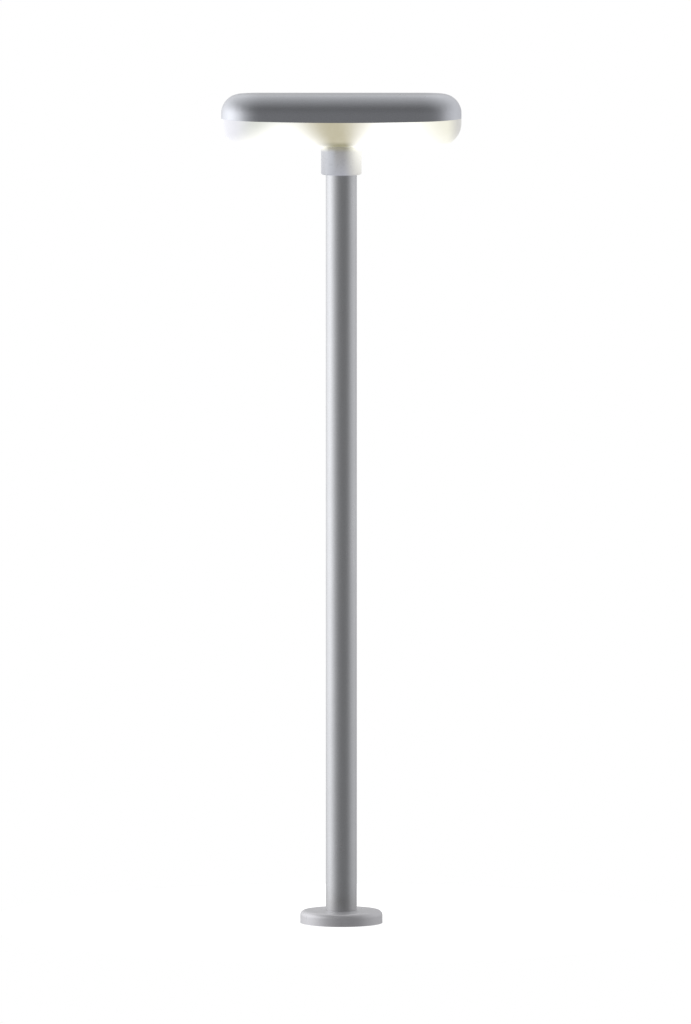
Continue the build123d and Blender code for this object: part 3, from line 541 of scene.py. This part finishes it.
def soften(piece, width):
    """Rounds the edges of a piece."""
    bevel = piece.modifiers.new("soft_edges", "BEVEL")
    bevel.width = width
    bevel.segments = 2
    bevel.limit_method = "ANGLE"


def wire(name, body, material, points, radius):
    """An insulated wire held at both ends, as a tube round a smooth line."""
    curve = bpy.data.curves.new(name, "CURVE")
    curve.dimensions = "3D"
    curve.bevel_depth = radius
    curve.bevel_resolution = 3
    curve.use_fill_caps = True
    spline = curve.splines.new("NURBS")
    spline.points.add(len(points) - 1)
    for knot, point in zip(spline.points, points):
        knot.co = (*point, 1.0)
    spline.order_u = 3
    spline.use_endpoint_u = True
    spline.resolution_u = 6
    holder = bpy.data.objects.new(name, curve)
    mesh = bpy.data.meshes.new_from_object(holder)
    bpy.data.objects.remove(holder)
    mesh.name = name
    piece = show(mesh, name, material, smooth=True)
    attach(piece, body)
    return piece


# ---------------------------------------------------------------- cap, hinges and door hardware
UP = (0, 0, 1)
BACK = (0, 1, 0)
CAP_WALL = 0.003
RIB_DEEP = 0.008
RIB_HALF = 0.0015  # half a rib's thickness
RIB_DRAFT = 0.0004
LEAF_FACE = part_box("cap_shell")[1].y + 0.0035  # the cap hinge leaves' outer face
DOOR_LEAF_FACE = 0.074


def middle(node):
    """The centre of a node's box."""
    low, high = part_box(node)
    return (low + high) / 2


def cap_hardware():
    """Rivets through the hinge leaves, and cast stiffening ribs inside the cap."""
    for side in ("left", "right"):
        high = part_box(f"cap_hinge_leaf_{side}")[1]
        centre = middle(f"cap_hinge_leaf_{side}")
        spots = [(centre.x + reach, LEAF_FACE, high.z - 0.0085) for reach in (-0.021, 0.0, 0.021)]
        heads(f"cap_hinge_rivets_{side}", "cap", "stainless_steel", rivet, 0.0042, BACK, spots)
    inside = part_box("cap_shell")[1].z - CAP_WALL
    shape = bmesh.new()
    foot = inside - RIB_DEEP
    for y in (-0.05, 0.05):
        low = Vector((-0.40, y - RIB_HALF, foot))
        bar(shape, low, Vector((0.40, y + RIB_HALF, inside)), RIB_DRAFT)
    for x in (-0.32, -0.16, 0.0, 0.16, 0.32):
        for near, far in ((-0.078, -0.0515), (-0.0485, 0.0485), (0.0515, 0.078)):
            low = Vector((x - RIB_HALF, near, foot))
            bar(shape, low, Vector((x + RIB_HALF, far, inside)), RIB_DRAFT)
    soften(add(shape, "cap_ribs", "cap", "cap_aluminium"), 0.0006)


def door_hardware():
    """Screws that hold the door's hinge leaves."""
    base_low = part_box("door_hinge_base")[0]
    leaf_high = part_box("door_hinge_leaf")[1]
    base_spots = [(x, DOOR_LEAF_FACE, base_low.z + 0.008) for x in (-0.022, -0.0075, 0.0075, 0.022)]
    heads("door_hinge_base_screws", "column", "stainless_steel", pan_screw, 0.0034, BACK, base_spots)
    leaf_spots = [(x, DOOR_LEAF_FACE, leaf_high.z - 0.0085) for x in (-0.006, 0.006)]
    heads("door_hinge_leaf_screws", "door", "stainless_steel", pan_screw, 0.0032, BACK, leaf_spots)


# ---------------------------------------------------------------- fittings on the tray
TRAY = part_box("led_driver")[0].z
TERMINAL_LEVEL = TRAY + 0.013  # the height at which wires enter the terminals
TRAY_WIRE_R = 0.0014
COLUMN_WIRE_R = 0.0016
WIRE_COLOURS = {
    "brown": moulded("wire_brown", (0.16, 0.07, 0.03), 0.45),
    "blue": moulded("wire_blue", (0.03, 0.10, 0.34), 0.45),
    "earth": moulded("wire_earth", (0.30, 0.42, 0.05), 0.45),
}


def tray_hardware():
    """Bolts, screws, cooling fins, surge indicators, and the mains and surge wires."""
    bolts = [(x, y, TRAY + 0.006) for x in (-0.0735, 0.0735) for y in (-0.0735, 0.0735)]
    heads("neck_bolts", "head", "stainless_steel", socket_screw, 0.0065, UP, bolts)
    driver_low, driver_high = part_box("led_driver")
    foot_places = (driver_low.x + 0.006, driver_high.x - 0.006)
    feet = [(x, y, TRAY + 0.003) for x in foot_places for y in (-0.012, 0.012)]
    heads("driver_screws", "head", "stainless_steel", pan_screw, 0.0035, UP, feet)
    fins = bmesh.new()
    for index in range(7):
        y = driver_low.y + 0.014 + index * 0.007
        low = Vector((driver_low.x + 0.03, y - 0.001, driver_high.z))
        bar(fins, low, Vector((driver_high.x - 0.03, y + 0.001, driver_high.z + 0.0025)))
    soften(add(fins, "driver_fins", "head", "chassis_aluminium"), 0.0004)
    terminal_low, terminal_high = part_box("head_terminal")
    centre = (terminal_low + terminal_high) / 2
    steps = (-1.5, -0.5, 0.5, 1.5)
    poles = [(centre.x + step * 0.014, 0.0, terminal_high.z - 0.0048) for step in steps]
    heads("head_terminal_screws", "head", "brass", pan_screw, 0.0033, UP, poles)
    surge_low, surge_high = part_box("surge_protector")
    surge_x = (surge_low.x + surge_high.x) / 2
    lamps = [(surge_x + step, -0.012, surge_high.z) for step in (-0.012, 0.012)]
    heads("surge_indicators", "head", "clear_optic", rivet, 0.003, UP, lamps)
    level = TERMINAL_LEVEL
    for index, colour in enumerate(WIRE_COLOURS):
        lane = -0.040 - 0.005 * index
        drop_x = poles[index][0]
        driver_y = -0.018 + 0.006 * index
        wire(f"mains_wire_{colour}", "head", WIRE_COLOURS[colour], (
            (driver_high.x - 0.0125, driver_y, level + 0.004),
            (driver_high.x + 0.008, driver_y - 0.002, level + 0.004),
            (driver_high.x + 0.026, lane * 0.8, level - 0.004),
            (-0.010, lane - 0.006, TRAY + 0.0035),
            (0.030, lane - 0.006, TRAY + 0.0035),
            (drop_x - 0.012, lane - 0.002, TRAY + 0.004),
            (drop_x, terminal_low.y - 0.010, level - 0.001),
            (drop_x, terminal_low.y + 0.001, level),
        ), TRAY_WIRE_R)
        wire(f"surge_wire_{colour}", "head", WIRE_COLOURS[colour], (
            (terminal_high.x - 0.001, -0.008 + 0.008 * index, level - 0.002),
            (terminal_high.x + 0.010, -0.008 + 0.008 * index, level - 0.003),
            (surge_low.x - 0.010, -0.010 + 0.010 * index, level + 0.001),
            (surge_low.x + 0.001, -0.010 + 0.010 * index, level),
        ), TRAY_WIRE_R)


def column_wiring():
    """Terminal screws, fuse wires, and the earth lug with its wire, behind the door."""
    block_low, block_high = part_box("terminal_block")
    row = middle("terminal_block").z
    poles = [(x, block_high.y - 0.0048, row) for x in (-0.018, -0.006, 0.006, 0.018)]
    heads("column_terminal_screws", "column", "brass", pan_screw, 0.0033, BACK, poles)
    box_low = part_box("fuse_box")[0].z
    for pole, colour in zip(poles, WIRE_COLOURS):
        depth = block_high.y - 0.010
        gap = box_low - block_high.z
        wire(f"fuse_wire_{colour}", "column", WIRE_COLOURS[colour], (
            (pole[0], depth, block_high.z - 0.001),
            (pole[0], depth, block_high.z + 0.35 * gap),
            (pole[0] * 1.5, depth + 0.010, block_high.z + 0.65 * gap),
            (pole[0] * 1.5, depth + 0.010, box_low + 0.001),
        ), COLUMN_WIRE_R)
    stud_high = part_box("earth_stud")[1]
    stud_z = middle("earth_stud").z
    lug = bmesh.new()
    turn(lug, Vector((0.0, stud_high.y - 0.0045, stud_z)), Vector(BACK), (
        (0.0075, 0.0, False),
        (0.0075, 0.0010, False),
        (0.0042, 0.0010, False),
        (0.0042, 0.0014, False),
    ))
    add(lug, "earth_lug", "column", "brass")
    wire("earth_wire", "column", WIRE_COLOURS["earth"], (
        (-0.005, stud_high.y - 0.0035, stud_z + 0.001),
        (-0.013, stud_high.y - 0.0030, stud_z + 0.004),
        (-0.021, stud_high.y - 0.0050, stud_z + 0.010),
        (-0.020, stud_high.y - 0.0090, stud_z + 0.018),
        (-0.016, block_high.y - 0.0100, block_low.z - 0.004),
        (-0.016, block_high.y - 0.0100, block_low.z + 0.001),
    ), COLUMN_WIRE_R)


cap_hardware()
door_hardware()
tray_hardware()
column_wiring()


# ---------------------------------------------------------------- stage
FLOOR_R = 1.6
FLOOR_SIDES = 96


def round_floor():
    """A pale floor that the camera sees and the lamp casts its shadow on."""
    mesh = bpy.data.meshes.new("floor")
    angles = [math.tau * i / FLOOR_SIDES for i in range(FLOOR_SIDES)]
    rim = [(FLOOR_R * math.cos(angle), FLOOR_R * math.sin(angle), 0.0) for angle in angles]
    mesh.from_pydata(rim, [], [tuple(range(FLOOR_SIDES))])
    look = Look("floor_white")
    look.set(Base_Color=(0.93, 0.93, 0.93, 1.0), Roughness=0.9, Specular_IOR_Level=0.1)
    look.set(Emission_Color=(1.0, 1.0, 1.0, 1.0), Emission_Strength=0.72)
    floor = show(mesh, "floor", look.material)
    floor.visible_glossy = False
    floor.visible_diffuse = False


# How bright the studio is round the lamp: degrees from the front, positive to the right.
STUDIO_LEVELS = (
    (-180, 0.52), (-135, 1.10), (-95, 1.46), (-70, 1.06), (-44, 0.52), (-20, 0.275), (0, 0.215),
    (30, 0.205), (50, 0.27), (65, 0.44), (80, 0.60), (109, 0.74), (150, 0.62), (180, 0.52),
)
STUDIO_TOP = (0.15, 0.80)  # above the lamp: towards the front, towards the back
FLOOR_GLOW = (0.19, 0.19, 0.195)  # below the lamp
DOME_R = 9.0
DOME_Z = 1.9  # the dome's centre, about half-way up the lamp


def light_dome():
    """A soft glowing dome that the camera sees through, bright at the sides and dim in front."""
    mesh = bpy.data.meshes.new("light_dome")
    shape = bmesh.new()
    bmesh.ops.create_uvsphere(shape, u_segments=64, v_segments=32, radius=DOME_R)
    bmesh.ops.translate(shape, verts=shape.verts, vec=(0.0, 0.0, DOME_Z))
    shape.to_mesh(mesh)
    shape.free()
    look = Look("studio_glow")
    bearing = look.math("ARCTAN2", look.axis("X"), look.math("MULTIPLY", look.axis("Y"), -1.0))
    ramp = look.tree.nodes.new("ShaderNodeValToRGB")
    look.tree.links.new(look.remap(bearing, -math.pi, math.pi), ramp.inputs["Fac"])
    stops = ramp.color_ramp.elements
    while len(stops) < len(STUDIO_LEVELS):
        stops.new(0.5)
    for stop, (degrees, level) in zip(stops, STUDIO_LEVELS):
        stop.position = (degrees + 180) / 360
        stop.color = (level, level, level * 1.01, 1.0)
    high = look.remap(look.axis("Z"), DOME_Z + 0.2 * DOME_R, DOME_Z + 0.85 * DOME_R, smooth=True)
    top = look.remap(look.axis("Y"), -0.7 * DOME_R, 0.7 * DOME_R, *STUDIO_TOP)
    glow = look.mix(high, ramp.outputs["Color"], top)
    low_starts = DOME_Z - 0.05 * DOME_R
    low_full = DOME_Z - 0.6 * DOME_R
    low = look.remap(look.axis("Z"), low_starts, low_full, 0.0, 0.6, smooth=True)
    glow = look.mix(low, glow, FLOOR_GLOW)
    look.link(glow, "Emission Color")
    look.set(Base_Color=(0.0, 0.0, 0.0, 1.0), Emission_Strength=1.0, Specular_IOR_Level=0.0)
    dome = show(mesh, "light_dome", look.material)
    dome.visible_camera = False


round_floor()
light_dome()

world = bpy.data.worlds.new("studio")
world.use_nodes = True
background = world.node_tree.nodes["Background"]
background.inputs["Color"].default_value = (1.0, 1.0, 1.0, 1.0)
background.inputs["Strength"].default_value = 1.0
bpy.context.scene.world = world
bpy.context.scene.view_settings.view_transform = "Standard"
bpy.context.scene.view_settings.look = "None"
